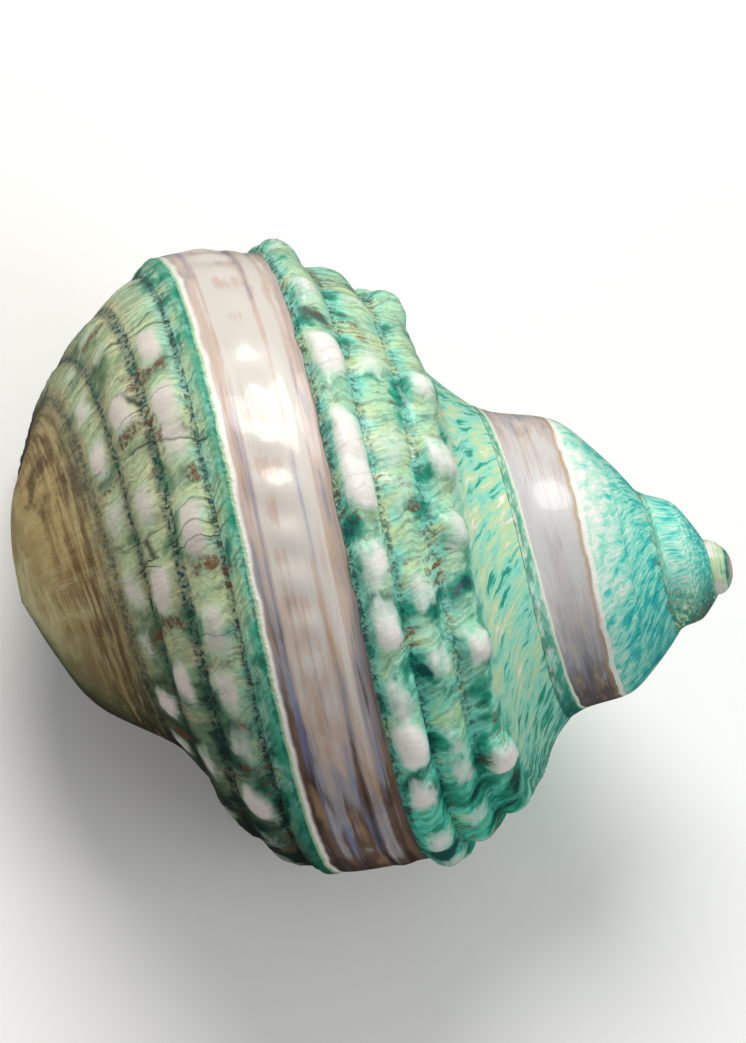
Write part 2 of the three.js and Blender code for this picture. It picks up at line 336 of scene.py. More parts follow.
def row_point(row, angle):
    """A row's places along the axis and out from it, at an array of angles."""
    if row.swing:
        return np.array(row.middle) + np.sin(angle)[:, None] * np.array(row.swing)
    late = grown_point(row, angle)
    if not row.spire:
        return late
    share = ease(angle, SPIRE_ANGLE, LOW_ANGLE)[:, None]
    return spire_point(row, angle) * (1 - share) + late * share


def next_suture(angle):
    return row_point(SUTURE, angle + TURN)


def foot_of_axis(angle):
    return np.broadcast_to(np.array([BASE_TIP, 0.0]), (len(angle), 2))


def curve_through(p0, p1, p2, p3, share):
    """Point and direction at a share of the way from p1 to p2 on a smooth curve through four points."""
    steps = [np.sum((b - a) ** 2, -1, keepdims=True) ** 0.25 for a, b in ((p0, p1), (p1, p2), (p2, p3))]
    d0, d1, d2 = (np.maximum(step, 1e-4) for step in steps)
    t1 = ((p1 - p0) / d0 - (p2 - p0) / (d0 + d1) + (p2 - p1) / d1) * d1
    t2 = ((p2 - p1) / d1 - (p3 - p1) / (d1 + d2) + (p3 - p2) / d2) * d1
    c2 = 3 * (p2 - p1) - 2 * t1 - t2
    c3 = 2 * (p1 - p2) + t1 + t2
    along = t1 + 2 * c2 * share + 3 * c3 * share ** 2
    along = along / np.linalg.norm(along, axis=-1, keepdims=True)
    return p1 + t1 * share + c2 * share ** 2 + c3 * share ** 3, along


def section_at(rows, closing, at, angle):
    """Point and direction of the section at a place between its rows, which end at closing."""
    index = min(int(at), len(rows) - 1)

    def point(k):
        if k < 0:
            return 2 * row_point(rows[0], angle) - row_point(rows[1], angle)
        if k < len(rows):
            return row_point(rows[k], angle)
        end = closing(angle)
        return end if k == len(rows) else 2 * end - row_point(rows[-1], angle)

    corners = [point(index + k) for k in (-1, 0, 1, 2)]
    return curve_through(*corners, at - index)


def knobs_of(row):
    """Angles of a row's knobs in degrees, the seen ones and the usual ones round the far side, with sizes."""
    after = np.arange(row.angles[-1] + row.pitch, KNOBS_END[1], row.pitch)
    before = np.arange(row.angles[0] - row.pitch, KNOBS_END[0], -row.pitch)
    angles = list(row.angles)
    for angle in (*after, *before):
        angles.append(angle + UNEVEN * row.pitch * math.sin(UNEVEN_RATE * angle))
    return [(angle, 0.86 + 0.2 * math.sin(UNEVEN_SIZE_RATE * angle + row.at)) for angle in angles]


def flat_top(value):
    return np.exp(-value ** 4)


def growth_angle(at, degrees):
    """Angle in degrees that stays the same all along a growth line."""
    twist = BASE_TWIST * max(at - BASE_PLACE, 0) * np.clip(degrees, -90, 90)
    return degrees + SLANT * at + RAMP_SLANT * min(at, RAMP_END) - twist


def step_edge(at, start, crest, end):
    return ease(at, start, crest) * (1 - ease(at, crest, end))


def knob_masks(row, degrees):
    """Along one cord: how high its knobs stand, how pale they are, and the painted shade beside them."""
    top, pale, dark = np.zeros((3, len(degrees)))
    for place, size in knobs_of(row):
        off = (degrees - place) / row.half_length
        early = float(ease(-place, *LOW_KNOBS))
        top = np.maximum(top, size * (1 - 0.55 * early) * np.exp(-np.abs(off / size) ** 3))
        light = size * (1 - 0.5 * float(ease(place, *DULL_KNOBS))) * (1 - 0.4 * early)
        pale = np.maximum(pale, light * flat_top(off / row.patch))
        patch = 0.6 + 0.4 * math.sin(PATCH_RATE * place)
        dark = np.maximum(dark, patch * bell((off + PATCH_OFFSET) / PATCH_REACH))
    return top, pale, dark


def relief(at, angle, sizes):
    """Height over the plain section in millimetres, with how much of it is knob, shade and cord."""
    strength = ease(angle, KNOBS_FROM, KNOBS_FULL)
    degrees = np.degrees(angle)
    height, knob, shade, cord = np.zeros((4, len(angle)))
    for row in KNOB_ROWS:
        off_crest = (at - row.at) / row.reach
        across = max(1 - off_crest ** 2, 0)
        if across == 0:
            continue
        domed = 1 - abs(off_crest) ** 3
        top, pale, dark = knob_masks(row, degrees)
        on_base = row.at > BASE_PLACE
        kept = 1 - 0.5 * ease(degrees, *BASE_FADE) if on_base else 1
        height += (across * row.cord_height + domed * row.knob_height * top) * kept * sizes.knob_scale
        wide = 0.62 if on_base else 0.7
        knob = np.maximum(knob, row.pale * pale * flat_top(off_crest / wide))
        shade = np.maximum(shade, row.pale * flat_top(off_crest / 0.95) * dark)
        cord = np.maximum(cord, across)
    # The ground band lies lower than the green layer beside it and keeps traces of its cords
    height += (step_edge(at, *STEP_ABOVE) + step_edge(at, *STEP_BELOW)) * sizes.band_step / MM
    lumps = 0.55 + 0.45 * np.sin(degrees * LUMP_RATE + LUMP_SWAY * np.sin(degrees * LUMP_DRIFT))
    lumps = lumps * ease(degrees, *LUMPS_FADE)
    traces = bell((at - LUMP_PLACE) / LUMP_REACH) * lumps + 0.6 * bell((at - TRACE_PLACE) / TRACE_REACH)
    height += traces * sizes.band_cords / MM
    slant = growth_angle(at, degrees)
    lines = sum(share * np.abs(np.sin(slant * rate + sway * np.sin(slant * drift)))
                for share, rate, sway, drift in WRINKLES)
    depth = sum(share for share, *_ in WRINKLES) - lines
    outside_band = 1 - ease(at, *SMOOTH_FROM) * (1 - ease(at, *SMOOTH_TO))
    height -= depth * outside_band * sizes.wrinkles / MM * (0.3 + 0.7 * cord)
    return height * strength, knob * strength, shade * strength, cord * strength


def placed(section, angle):
    """Points of the shell round its own axis."""
    along, out = section[..., 0], section[..., 1]
    return np.stack([out * np.cos(angle), out * np.sin(angle), along], -1)


def lying_axes():
    """Rows that turn the shell's own axes to the way it lies."""
    lean = math.cos(FLOOR_LEAN)
    up = -np.array([math.cos(FLOOR_ANGLE) * lean, math.sin(FLOOR_ANGLE) * lean, math.sin(FLOOR_LEAN)])
    apex = np.array([0.0, 0.0, -1.0])
    apex -= up * (apex @ up)
    apex /= np.linalg.norm(apex)
    return np.array([apex, np.cross(up, apex), up])


def lying(points):
    moved = points @ lying_axes().T + np.array([-LYING_MIDDLE[0], -LYING_MIDDLE[1], FLOOR_DEPTH])
    return moved * MM


def retreat_at(at):
    index = int(at)
    here = ALL_ROWS[index].retreat or 0
    after = ALL_ROWS[min(index + 1, len(ALL_ROWS) - 1)].retreat or 0
    return math.radians(here + (after - here) * (at - index))


def sample_rows(rows, first):
    return [first + i + face / row.faces for i, row in enumerate(rows) for face in range(row.faces)]


Grid = namedtuple("Grid", "section angle turn at knob shade cord growth")


def column(at, rows, closing, angle, sizes):
    """One line of points along the whorl, with its maps."""
    point, along = section_at(rows, closing, at, angle)
    height, knob, shade, cord = relief(at, angle, sizes)
    if at == 0:
        height = height * 0
    normal = np.stack([-along[:, 1], along[:, 0]], -1)
    # The knobs of the shoulder stand away from the axis more than from the ramp
    normal[:, 1] += KNOB_LIFT * bell((at - SHOULDER_KNOBS) / KNOB_LIFT_REACH)
    normal /= np.linalg.norm(normal, axis=1, keepdims=True)
    plain = plain_column(point + normal * height[:, None], angle, at)
    return plain._replace(knob=knob, shade=shade, cord=cord)


def plain_column(section, angle, at):
    none = np.zeros_like(angle)
    growth = growth_angle(at, np.degrees(angle)) / 360
    return Grid(section, angle, angle / TURN, np.full_like(angle, at), none, none, none, growth)


def stacked(columns):
    return Grid(*(np.stack(parts, 1) for parts in zip(*columns)))


def whorl_grids(sizes):
    """Grids of the spire, which ends on the next suture, and of the last turn, which ends at the axis."""
    step = TURN / RINGS_PER_TURN
    last = round((END_ANGLE - START_ANGLE) / step)
    join = last - RINGS_PER_TURN
    rings = START_ANGLE + step * np.arange(last + 1)
    upper = sample_rows(UPPER_ROWS, 0)
    lower = sample_rows(ALL_ROWS[len(UPPER_ROWS):], len(UPPER_ROWS))

    early = rings[:join]
    spire = [column(at, UPPER_ROWS, next_suture, early, sizes) for at in upper]
    spire.append(plain_column(next_suture(early), early, len(UPPER_ROWS)))

    late = rings[join:]
    freed = ease(late, late[0], late[0] + FREE_ANGLE)
    turn = []
    for at in upper:
        turn.append(column(at, ALL_ROWS, foot_of_axis, late - retreat_at(at) * freed, sizes))
        if at > len(UPPER_ROWS) - 1:
            held = column(at, UPPER_ROWS, next_suture, late, sizes).section
            mixed = held + (turn[-1].section - held) * freed[:, None]
            turn[-1] = turn[-1]._replace(section=mixed)
    below = [column(at, ALL_ROWS, foot_of_axis, late - retreat_at(at), sizes) for at in lower]
    middle = (turn[-1].section + below[0].section) / 2
    held = next_suture(late)
    middle = held + (middle - held) * freed[:, None]
    middle_angle = late + ((turn[-1].angle + below[0].angle) / 2 - late) * freed
    turn.append(plain_column(middle, middle_angle, (upper[-1] + lower[0]) / 2))
    turn += below
    turn.append(plain_column(foot_of_axis(late), late, len(ALL_ROWS)))
    return stacked(spire), stacked(turn), len(upper)


def apex_dome(rim):
    """Rings of points that close the first turn with a rounded top, the last of them all in one point."""
    top = row_point(SUTURE, np.array([START_ANGLE]))[0, 0] - APEX_RISE
    rings = []
    for ring in range(1, DOME_RINGS + 1):
        rise = ring / DOME_RINGS * math.pi / 2
        out = rim[:, :2] * math.cos(rise)
        along = top + (rim[:, 2:] - top) * (1 - math.sin(rise))
        rings.append(np.hstack([out, along]))
    rings[-1][:, :2] = 0
    return np.stack(rings)


def shell_mesh(sizes):
    """The whole shell before it is hollowed, as one closed mesh with its maps."""
    spire, turn, upper_count = whorl_grids(sizes)
    join = spire.section.shape[0]
    width = turn.section.shape[1]
    lower_count = sum(row.faces for row in LOWER_ROWS)
    lobe_start = upper_count + 1 + lower_count

    spire_points = placed(spire.section, spire.angle)[:, :upper_count].reshape(-1, 3)
    turn_points = placed(turn.section, turn.angle)[:, :width - 1].reshape(-1, 3)
    own_points = np.concatenate([spire_points, turn_points, [[0, 0, BASE_TIP]]])

    first_turn = join * upper_count
    tip = first_turn + (RINGS_PER_TURN + 1) * (width - 1)
    apex = tip + 1
    turn_ids = np.full((RINGS_PER_TURN + 1, width), tip)
    turn_ids[:, :width - 1] = first_turn + np.arange(turn_ids[:, 1:].size).reshape(-1, width - 1)
    spire_ids = np.zeros((join, upper_count + 1), int)
    spire_ids[:, :upper_count] = np.arange(join * upper_count).reshape(join, upper_count)
    starts = np.concatenate([spire_ids[:, 0], turn_ids[:, 0]])
    spire_ids[:, upper_count] = starts[RINGS_PER_TURN:RINGS_PER_TURN + join]
    turn_ids[0, upper_count] = turn_ids[-1, 0]
    turn_ids[-1, lobe_start:] = turn_ids[0, lobe_start:]

    rim = np.concatenate([starts[RINGS_PER_TURN::-1], spire_ids[0, 1:upper_count]])
    dome = apex_dome(own_points[rim])
    dome_ids = [rim, *(apex + np.arange(dome[:-1].size // 3).reshape(-1, len(rim)))]
    dome_ids.append(np.full(len(rim), apex + dome[:-1].size // 3))
    points = lying(np.concatenate([own_points, dome[:-1].reshape(-1, 3), dome[-1, :1]]))

    maps = {
        SPIRAL_MAP: (spire.turn, spire.at, turn.turn, turn.at),
        KNOB_MAP: (spire.knob, spire.shade, turn.knob, turn.shade),
        CORD_MAP: (spire.cord, spire.growth, turn.cord, turn.growth),
    }
    faces = []
    corners = {name: [] for name in maps}

    def add(ids, values):
        kept = [i for i in range(len(ids)) if ids[i] != ids[i - 1]]
        faces.append([int(ids[i]) for i in kept])
        for name in maps:
            corners[name].extend(values[name][i] for i in kept)

    def add_grid(ids, pairs):
        def around(grid):
            return np.stack([grid[:-1, :-1], grid[1:, :-1], grid[1:, 1:], grid[:-1, 1:]], -1).reshape(-1, 4)
        quads = around(ids)
        values = {name: np.stack([around(a), around(b)], -1).tolist() for name, (a, b) in pairs.items()}
        for i, quad in enumerate(quads.tolist()):
            add(quad, {name: values[name][i] for name in pairs})

    columns = slice(0, upper_count + 1)
    joined = {name: (np.vstack([a, c[:1, columns]]), np.vstack([b, d[:1, columns]]))
              for name, (a, b, c, d) in maps.items()}
    for a, b in joined.values():
        a[-1, -1] = a[-2, -1]
        b[-1, -1] = b[-2, -1]
    joined[SPIRAL_MAP][0][-1, -1] = turn.turn[0, 0]
    add_grid(np.vstack([spire_ids, turn_ids[:1, columns]]), joined)
    add_grid(turn_ids, {name: (c, d) for name, (a, b, c, d) in maps.items()})

    # Worn apex, a dome over the first turn
    start = START_ANGLE / TURN
    plain = {KNOB_MAP: [[0, 0]] * 4, CORD_MAP: [[0, start]] * 4}
    for ring, (outer, inner) in enumerate(zip(dome_ids[:-1], dome_ids[1:])):
        below, above = [start, -ring / DOME_RINGS], [start, -(ring + 1) / DOME_RINGS]
        for i in range(len(rim)):
            corner_ids = [int(inner[i - 1]), int(outer[i - 1]), int(outer[i]), int(inner[i])]
            add(corner_ids, {SPIRAL_MAP: [above, below, below, above], **plain})
    outer_count = len(faces)

    # End of the last whorl, between its section and the whorl before it
    ids = [*turn_ids[-1, :lobe_start], *turn_ids[0, upper_count + 1:lobe_start + 1][::-1]]
    outline = [*turn.section[-1, :lobe_start], *turn.section[0, upper_count + 1:lobe_start + 1][::-1]]
    lip = {SPIRAL_MAP: [[END_ANGLE / TURN, BASE_PLACE]] * 3, KNOB_MAP: [[0, 0]] * 3, CORD_MAP: [[0, 0]] * 3}
    for triangle in tessellate_polygon([[Vector((*p, 0)) for p in outline]]):
        add([int(ids[i]) for i in sorted(triangle, reverse=True)], lip)

    mesh = bpy.data.meshes.new("turban_shell")
    mesh.from_pydata(points.tolist(), [], faces)
    for name, values in corners.items():
        layer = mesh.uv_layers.new(name=name)
        layer.data.foreach_set("uv", np.array(values, np.float32).ravel())
    indices = np.zeros(len(faces), np.int32)
    indices[outer_count:] = 1
    mesh.polygons.foreach_set("material_index", indices)
    return mesh


def cavity_sections(angle, wall):
    """Sections of the hollow: the gap between a whorl and the one before it, drawn in from both."""
    before = angle - TURN
    outside = [row_point(row, angle) for row in (NECK, *UPPER_ROWS[3:], *LOWER_ROWS)]
    crease, lobe = row_point(CREASE, angle), row_point(LOBE, angle)
    outside.append(crease + (lobe - crease) * CAVITY_FOOT)
    crease, lobe = row_point(CREASE, before), row_point(LOBE, before)
    inside = [crease + (lobe - crease) * PILLAR_FOOT, crease, row_point(BASE, before)]
    middle = np.mean([*outside, *inside], axis=0)
    laid = CALLUS + (CALLUS_EDGE - CALLUS) * ease(angle, CALLUS_FROM, CAVITY_TO)

    def drawn_in(point, distance):
        inward = middle - point
        inward = inward / np.linalg.norm(inward, axis=-1, keepdims=True)
        return point + inward * distance

    corners = [drawn_in(point, wall) for point in outside]
    corners += [drawn_in(point, laid[:, None]) for point in inside]
    count = len(corners)
    sections = []
    for side in range(CAVITY_SIDES):
        at = side / CAVITY_SIDES * count
        index = int(at)
        around = [corners[(index + k) % count] for k in (-1, 0, 1, 2)]
        sections.append(curve_through(*around, at - index)[0])
    return np.stack(sections, 1)


def cavity_mesh(wall):
    angle = np.linspace(CAVITY_FROM, CAVITY_TO, CAVITY_RINGS + 1)
    points = lying(placed(cavity_sections(angle, wall), angle[:, None]).reshape(-1, 3))
    ids = np.arange(len(points)).reshape(CAVITY_RINGS + 1, CAVITY_SIDES)
    beside = np.roll(ids, -1, axis=1)
    quads = np.stack([ids[:-1], ids[1:], beside[1:], beside[:-1]], -1).reshape(-1, 4)
    faces = [*quads.tolist(), ids[0].tolist(), ids[-1][::-1].tolist()]
    mesh = bpy.data.meshes.new("hollow")
    mesh.from_pydata(points.tolist(), [], faces)
    turns = np.repeat(angle / TURN, CAVITY_SIDES)
    sides = np.tile(np.arange(CAVITY_SIDES) / CAVITY_SIDES * len(ALL_ROWS), CAVITY_RINGS + 1)
    layer = mesh.uv_layers.new(name=SPIRAL_MAP)
    loops = np.zeros(len(mesh.loops), np.int32)
    mesh.loops.foreach_get("vertex_index", loops)
    layer.data.foreach_set("uv", np.stack([turns[loops], sides[loops]], -1).astype(np.float32).ravel())
    return mesh


def floor_block_mesh():
    half = FLOOR_BLOCK / 2
    points = [(x, y, z) for x in (-half, half) for y in (-half, half) for z in (-FLOOR_BLOCK, 0)]
    faces = [(0, 1, 3, 2), (4, 6, 7, 5), (0, 4, 5, 1), (2, 3, 7, 6), (0, 2, 6, 4), (1, 5, 7, 3)]
    mesh = bpy.data.meshes.new("floor_block")
    mesh.from_pydata(points, [], faces)
    return mesh


def linked(name, data, *materials):
    """New object in the scene for a mesh, a light or a camera."""
    item = bpy.data.objects.new(name, data)
    bpy.context.scene.collection.objects.link(item)
    for material in materials:
        data.materials.append(material)
    return item


def cut_from(item, cutters):
    """Cuts the cutters out of an item, and removes them."""
    for cutter in cutters:
        cut = item.modifiers.new(cutter.name, "BOOLEAN")
        cut.operation = "DIFFERENCE"
        cut.solver = "MANIFOLD"
        cut.material_mode = "TRANSFER"
        cut.object = cutter
    bpy.context.view_layer.update()
    whole = item.evaluated_get(bpy.context.evaluated_depsgraph_get())
    mesh = bpy.data.meshes.new_from_object(whole)
    item.modifiers.clear()
    old = item.data
    item.data = mesh
    bpy.data.meshes.remove(old)
    mesh.name = item.name
    for cutter in cutters:
        data = cutter.data
        bpy.data.objects.remove(cutter)
        bpy.data.meshes.remove(data)


# Nodes of the materials


class Net:
    """Adds nodes to one tree. An input is a socket to link, or a plain value."""

    def __init__(self, tree):
        self.tree = tree

    def feed(self, socket, value):
        if isinstance(value, bpy.types.NodeSocket):
            self.tree.links.new(value, socket)
        elif socket.type == "RGBA" and len(value) == 3:
            socket.default_value = (*value, 1)
        else:
            socket.default_value = value

    def node(self, kind, inputs=None, **settings):
        made = self.tree.nodes.new(kind)
        for name, value in settings.items():
            setattr(made, name, value)
        for name, value in (inputs or {}).items():
            self.feed(made.inputs[name], value)
        return made

    def math(self, operation, *values):
        return self.node("ShaderNodeMath", dict(enumerate(values)), operation=operation).outputs[0]

    def add(self, *values):
        return reduce(lambda a, b: self.math("ADD", a, b), values)

    def less(self, a, b):
        return self.math("SUBTRACT", a, b)

    def times(self, *values):
        return reduce(lambda a, b: self.math("MULTIPLY", a, b), values)

    def sway(self, value, amount):
        """How far a pattern is from its middle, times an amount."""
        return self.times(self.less(value, 0.5), amount)

    def inverse(self, mask):
        return self.less(1.0, mask)

    def rise(self, value, low, high, to=1.0):
        made = self.node("ShaderNodeMapRange",
                         {"Value": value, "From Min": low, "From Max": high, "To Min": 0.0, "To Max": to},
                         interpolation_type="SMOOTHSTEP", clamp=True)
        return made.outputs["Result"]

    def between(self, value, low, high, soft):
        inside = self.rise(value, low - soft, low + soft)
        return self.times(inside, self.inverse(self.rise(value, high - soft, high + soft)))

    def mix(self, share, a, b, blend="MIX"):
        made = self.node("ShaderNodeMix", {0: share, 6: a, 7: b}, data_type="RGBA", blend_type=blend)
        return made.outputs[2]

    def paint(self, under, colour, *masks):
        """A colour laid over another where all the masks are."""
        return self.mix(self.times(*masks), under, colour)

    def map(self, name):
        place = self.node("ShaderNodeUVMap", uv_map=name).outputs["UV"]
        made = self.node("ShaderNodeSeparateXYZ", {"Vector": place})
        return made.outputs["X"], made.outputs["Y"]

    def object_place(self):
        return self.node("ShaderNodeTexCoord").outputs["Object"]

    def stretched(self, turn, row, along, across, seed=0.0):
        """Place in a pattern with so many features along a turn and across a row."""
        parts = {"X": self.times(turn, along), "Y": self.times(row, across), "Z": seed}
        return self.node("ShaderNodeCombineXYZ", parts).outputs["Vector"]

    def noise(self, vector, scale, detail=2.0, rough=0.5, warp=0.0):
        made = self.node("ShaderNodeTexNoise", {"Vector": vector, "Scale": scale, "Detail": detail,
                                                "Roughness": rough, "Distortion": warp})
        return made.outputs["Fac"]

    def field(self, turn, row, along, across, seed=0.0, **settings):
        return self.noise(self.stretched(turn, row, along, across, seed), 1.0, **settings)

    def seams(self, turn, row, along, across, seed=0.0):
        """Distance from the seams between cells."""
        place = self.stretched(turn, row, along, across, seed)
        made = self.node("ShaderNodeTexVoronoi", {"Vector": place, "Scale": 1.0}, feature="DISTANCE_TO_EDGE")
        return made.outputs["Distance"]

    def ramp(self, value, *stops):
        """Colour that changes from stop to stop, each a place and a colour."""
        place, found = stops[0]
        for following, shade in stops[1:]:
            found = self.mix(self.rise(value, place, following), found, shade)
            place = following
        return found

    def bump(self, height, distance):
        inputs = {"Strength": 1.0, "Distance": distance, "Height": height}
        return self.node("ShaderNodeBump", inputs).outputs["Normal"]


def new_group(name, inputs, outputs):
    """Empty node group with value inputs and outputs of the named kinds, its net, and its input sockets."""
    group = bpy.data.node_groups.new(name, "ShaderNodeTree")
    for label in inputs:
        group.interface.new_socket(label, in_out="INPUT", socket_type=VALUE_SOCKET)
    for label, kind in outputs.items():
        group.interface.new_socket(label, in_out="OUTPUT", socket_type=kind)
    net = Net(group)
    entry = net.node("NodeGroupInput")
    return group, net, [entry.outputs[label] for label in inputs]


def pearl_group(colours):
    """Nacre: white to brown by tone, with amber and blue streaks along the whorl."""
    outputs = {"Color": COLOUR_SOCKET, "Roughness": VALUE_SOCKET, "Height": VALUE_SOCKET}
    group, net, (turn, row, tone) = new_group("pearl", ("Turn", "Row", "Tone"), outputs)
    cloud = net.field(turn, row, 20.0, 2.6, 4.0, detail=3.0, rough=0.55, warp=0.6)
    streak = net.field(turn, row, 7.0, 8.0, detail=3.0, rough=0.6, warp=0.8)
    thread = net.field(turn, row, 30.0, 26.0, 9.0)
    warm = net.field(turn, row, 24.0, 4.0, 21.0)
    cold = net.field(turn, row, 9.0, 7.0, 33.0)
    shade = net.ramp(net.add(tone, net.sway(cloud, 1.3), net.sway(streak, 1.3)),
                     (0.05, colours.pearl), (0.35, colours.blush), (0.62, colours.lavender),
                     (0.92, colours.taupe), (1.3, colours.bistre))
    dull = net.rise(tone, 0.1, 0.5)
    dark = net.rise(tone, 0.85, 1.1, 0.7)
    shade = net.paint(shade, colours.amber, net.rise(warm, 0.54, 0.68, 0.55), dull)
    shade = net.paint(shade, colours.sky, net.rise(cold, 0.53, 0.68, 0.55), dull, net.inverse(dark))
    rough = net.add(0.3, net.times(thread, 0.14))
    height = net.add(net.times(cloud, 0.7), net.times(thread, 0.3))
    net.node("NodeGroupOutput", {"Color": shade, "Roughness": rough, "Height": height})
    return group


def growth_group():
    """Growth lines that cross the whorl: a mask of dark cracks, broad to fine streaks and a height."""
    outputs = dict.fromkeys(("Crack", "Streak", "Brush", "Stroke", "Height"), VALUE_SOCKET)
    group, net, (growth, row) = new_group("growth_lines", ("Growth", "Row"), outputs)
    bent = net.add(growth, net.sway(net.field(growth, row, 30.0, 1.6), 0.016))
    gaps = net.field(growth, row, 22.0, 1.3, 5.0, detail=3.0)
    wide = net.inverse(net.rise(net.seams(bent, row, 27.0, 0.1), 0.0, 0.011))
    on_base = net.add(0.35, net.between(row, 7.3, 10.0, 0.3))
    wide = net.times(wide, net.rise(gaps, 0.4, 0.5), on_base)
    fine = net.inverse(net.rise(net.seams(bent, row, 96.0, 0.6, 4.0), 0.0, 0.05))
    fine = net.times(fine, net.rise(gaps, 0.52, 0.64), 0.45)
    crack = net.times(net.math("MAXIMUM", wide, fine), net.inverse(net.rise(row, 9.9, 10.3)))
    streak = net.field(bent, row, 56.0, 1.2, 3.0)
    brush = net.field(bent, row, 150.0, 0.7, 14.0, rough=0.6)
    stroke = net.field(bent, row, 330.0, 1.5, 8.0, detail=1.0, rough=0.6)
    height = net.add(net.times(streak, 0.6), net.times(stroke, 0.4))
    net.node("NodeGroupOutput", {"Crack": crack, "Streak": streak, "Brush": brush, "Stroke": stroke,
                                 "Height": height})
    return group


def use_group(net, group, inputs):
    return net.node("ShaderNodeGroup", inputs, node_tree=group).outputs


def new_material(name):
    material = bpy.data.materials.new(name)
    material.use_nodes = True
    material.node_tree.nodes.clear()
    return material, Net(material.node_tree)


def finish_material(net, inputs):
    surface = net.node("ShaderNodeBsdfPrincipled", inputs)
    net.node("ShaderNodeOutputMaterial", {"Surface": surface.outputs["BSDF"]})


# Colours, maps, patterns and masks that the layers of the outside share, with the sides to and away from the
# light for painted light and shade
Skin = namedtuple("Skin", "tints turn row knob shade cord "
                          "blots grains broad along lines spire last sunny low_side")


def skin_values(net, colours, growth):
    turn, row = net.map(SPIRAL_MAP)
    knob, shade = net.map(KNOB_MAP)
    cord, growth_line = net.map(CORD_MAP)
    place = net.object_place()
    # Side to the light and the side away from it, which the layers use to paint light and shade
    sunny = net.math("COSINE", net.times(net.less(turn, SUNNY_TURN), TURN))
    last = net.rise(turn, *SPIRE_END)
    return Skin(
        tints=colours, turn=turn, row=row, knob=knob, shade=shade, cord=cord,
        blots=net.noise(place, 170.0, 3.0, 0.6),
        grains=net.noise(place, 1500.0, 1.0, 0.7),
        broad=net.noise(place, 45.0, 1.0),
        along=net.field(turn, row, 50.0, 2.8, 6.0, rough=0.6),
        lines=use_group(net, growth, {"Growth": growth_line, "Row": row}),
        spire=net.inverse(last),
        last=last,
        sunny=sunny,
        low_side=net.inverse(net.rise(sunny, -0.7, 0.3)),
    )


def ground_colour(net, skin):
    """Streaked greens of the spire, the knobbed part and the base, and the khaki of the lobe; the greens are
    lighter on the side to the light as painted light.
    """
    tints, row, lines = skin.tints, skin.row, skin.lines

    # Tone of a green, lighter on the side to the light as painted light
    def tone(start, streaks, blots, broad, sunny):
        return net.add(start, net.sway(lines["Streak"], streaks), net.sway(skin.blots, blots),
                       net.sway(skin.broad, broad), net.times(skin.sunny, sunny))

    brushed = net.add(net.sway(lines["Brush"], 1.4), net.sway(lines["Stroke"], 0.5))
    ramp = net.ramp(net.add(tone(0.55, 1.0, 0.3, 0.5, 0.11), brushed), (0.1, tints.teal), (0.34, tints.jade),
                    (0.54, tints.mint), (0.84, tints.lime), (1.1, tints.cream))
    lift = net.add(net.rise(skin.turn, -1.6, -0.6, 0.22), net.rise(row, 1.5, 5.5, 0.26))
    spire = net.add(tone(0.32, 0.9, 0.4, 0.7, 0.13), net.times(brushed, 0.8), lift)
    spire = net.ramp(spire, (0.24, tints.teal), (0.46, tints.aqua), (0.68, tints.mint), (0.95, tints.foam),
                     (1.2, tints.cream))
    firm = tone(0.54, 1.4, 1.2, 0.4, 0.1)
    knobbed = net.ramp(firm, (0.16, tints.deep), (0.36, tints.jade), (0.58, tints.mint), (0.86, tints.lime))
    # The base is much lighter on the side to the light: painted light
    base = net.add(tone(0.5, 1.4, 1.0, 0.4, 0.44), net.sway(lines["Stroke"], 0.5))
    base = net.ramp(base, (0.32, tints.moss), (0.58, tints.sage), (0.86, tints.straw))
    base = net.paint(base, tints.olive, net.rise(row, 8.8, 10.0, 0.45))
    grown = net.field(skin.turn, row, 16.0, 2.4, 12.0, detail=4.0, rough=0.6, warp=0.4)
    lobe = net.add(0.7, net.sway(grown, 1.5), net.sway(skin.broad, 1.1),
                   net.times(net.between(row, 11.1, 12.7, 0.5), 0.3))
    lobe = net.ramp(net.less(lobe, net.rise(skin.turn, 0.02, 0.16, 0.14)), (0.16, tints.umber),
                    (0.36, tints.olive), (0.6, tints.khaki), (1.2, tints.straw))
    ragged_row = net.add(row, net.sway(skin.blots, 0.9))
    green = net.mix(net.rise(ragged_row, 2.0, 3.0), ramp, knobbed)
    green = net.mix(skin.spire, green, spire)
    green = net.mix(net.rise(ragged_row, 7.4, 9.0, 0.9), green, base)
    return net.mix(net.rise(ragged_row, 9.9, 10.5), green, lobe), firm


